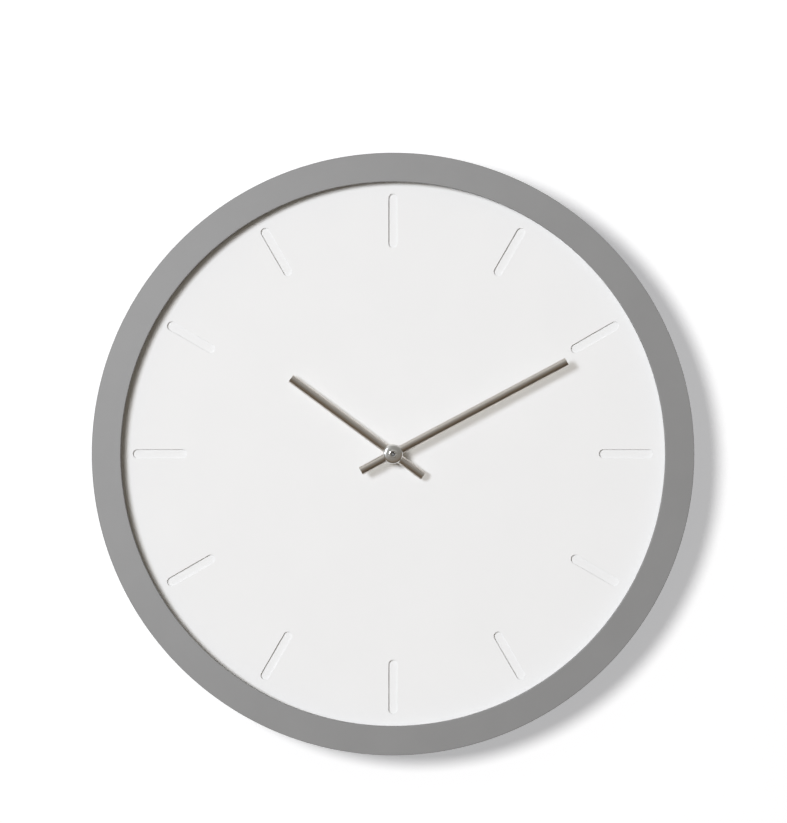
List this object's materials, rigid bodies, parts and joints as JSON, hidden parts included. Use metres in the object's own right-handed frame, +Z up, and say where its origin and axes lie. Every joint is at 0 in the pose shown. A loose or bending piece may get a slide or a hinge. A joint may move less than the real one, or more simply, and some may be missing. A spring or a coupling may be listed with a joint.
{
  "type": "round_wall_clock",
  "caption": "Round wall clock with a matte grey ring, a recessed white dial with debossed batons and two metal rod hands.",
  "frame": {"origin": "the point of the wall plane under the middle notch of the hanger plate, where the nail enters the wall", "axes": "+Z up, -Y out of the dial towards the viewer, +Y into the wall, +X to the viewer's right"},
  "size_m": [0.35, 0.0447, 0.35],
  "materials": {
    "grey_paint": "matte mid grey, smooth",
    "dial_white": "matte white",
    "satin_nickel": "satin, slightly warm",
    "chrome": "polished",
    "steel": "plain zinc-plated",
    "brass": "turned",
    "black_plastic": "fine moulded texture",
    "white_plastic": "natural acetal",
    "rubber": "plain",
    "magnet": "moulded ferrite",
    "copper": "enamelled copper wire",
    "board_green": "solder mask",
    "battery_sleeve": "plain unprinted sleeve"
  },
  "bodies": {
    "clock": {"frame_ring": "grey_paint", "dial_plate": "dial_white", "dial_clip_1": "steel", "dial_clip_2": "steel", "dial_clip_3": "steel", "dial_clip_4": "steel", "clip_screw_1": "steel", "clip_screw_2": "steel", "clip_screw_3": "steel", "clip_screw_4": "steel", "rubber_washer": "rubber", "hanger_plate": "steel", "shaft_nut": "brass", "threaded_bushing": "brass", "movement_case": "black_plastic", "movement_cover": "black_plastic", "train_bridge": "white_plastic", "stator_plate": "steel", "coil_core": "steel", "coil_bobbin": "white_plastic", "coil_winding": "copper", "circuit_board": "board_green", "quartz_crystal": "steel", "chip_cover": "black_plastic", "battery_contact": "steel", "battery_spring": "steel"},
    "minute": {"minute_hand": "satin_nickel", "hub_cap": "chrome", "cap_nut": "chrome", "minute_arbor": "steel", "centre_wheel": "brass"},
    "hour": {"hour_hand": "satin_nickel", "hour_collet": "chrome", "hour_wheel": "white_plastic"},
    "motion": {"motion_wheel": "white_plastic"},
    "third": {"third_wheel": "white_plastic"},
    "seconds": {"seconds_wheel": "white_plastic"},
    "intermediate": {"intermediate_wheel": "white_plastic"},
    "rotor": {"rotor_pinion": "white_plastic", "rotor_magnet": "magnet"},
    "setting": {"setting_pinion": "white_plastic", "setting_knob": "black_plastic"},
    "battery": {"battery_cell": "battery_sleeve"}
  },
  "joints": [
    {"name": "minute_turn", "type": "hinge", "parent": "clock", "child": "minute", "pos_m": [0, -0.0277, -0.04433], "axis": [0, 1, 0], "continuous": true},
    {"name": "hour_turn", "type": "hinge", "parent": "clock", "child": "hour", "pos_m": [0, -0.0277, -0.04433], "axis": [0, 1, 0], "continuous": true},
    {"name": "motion_turn", "type": "hinge", "parent": "clock", "child": "motion", "pos_m": [0, -0.018, -0.03633], "axis": [0, 1, 0], "continuous": true},
    {"name": "third_turn", "type": "hinge", "parent": "clock", "child": "third", "pos_m": [0.00779, -0.016, -0.03983], "axis": [0, 1, 0], "continuous": true},
    {"name": "seconds_turn", "type": "hinge", "parent": "clock", "child": "seconds", "pos_m": [0, -0.014, -0.04433], "axis": [0, 1, 0], "continuous": true},
    {"name": "intermediate_turn", "type": "hinge", "parent": "clock", "child": "intermediate", "pos_m": [-0.00779, -0.013, -0.03983], "axis": [0, 1, 0], "continuous": true},
    {"name": "rotor_turn", "type": "hinge", "parent": "clock", "child": "rotor", "pos_m": [-0.01437, -0.012, -0.04222], "axis": [0, 1, 0], "continuous": true},
    {"name": "setting_turn", "type": "hinge", "parent": "clock", "child": "setting", "pos_m": [0.004, -0.005, -0.0294], "axis": [0, 1, 0], "continuous": true},
    {"name": "battery_slide", "type": "slide", "parent": "clock", "child": "battery", "axis": [0, 1, 0], "range_m": [0, 0.02]}
  ],
  "couplings": [
    {"joint": "hour_turn", "follows": "minute_turn", "ratio": 0.083333},
    {"joint": "motion_turn", "follows": "minute_turn", "ratio": -0.33333},
    {"joint": "third_turn", "follows": "minute_turn", "ratio": -7.5},
    {"joint": "seconds_turn", "follows": "minute_turn", "ratio": 60},
    {"joint": "intermediate_turn", "follows": "minute_turn", "ratio": -300},
    {"joint": "rotor_turn", "follows": "minute_turn", "ratio": 1800},
    {"joint": "setting_turn", "follows": "minute_turn", "ratio": 1}
  ]
}
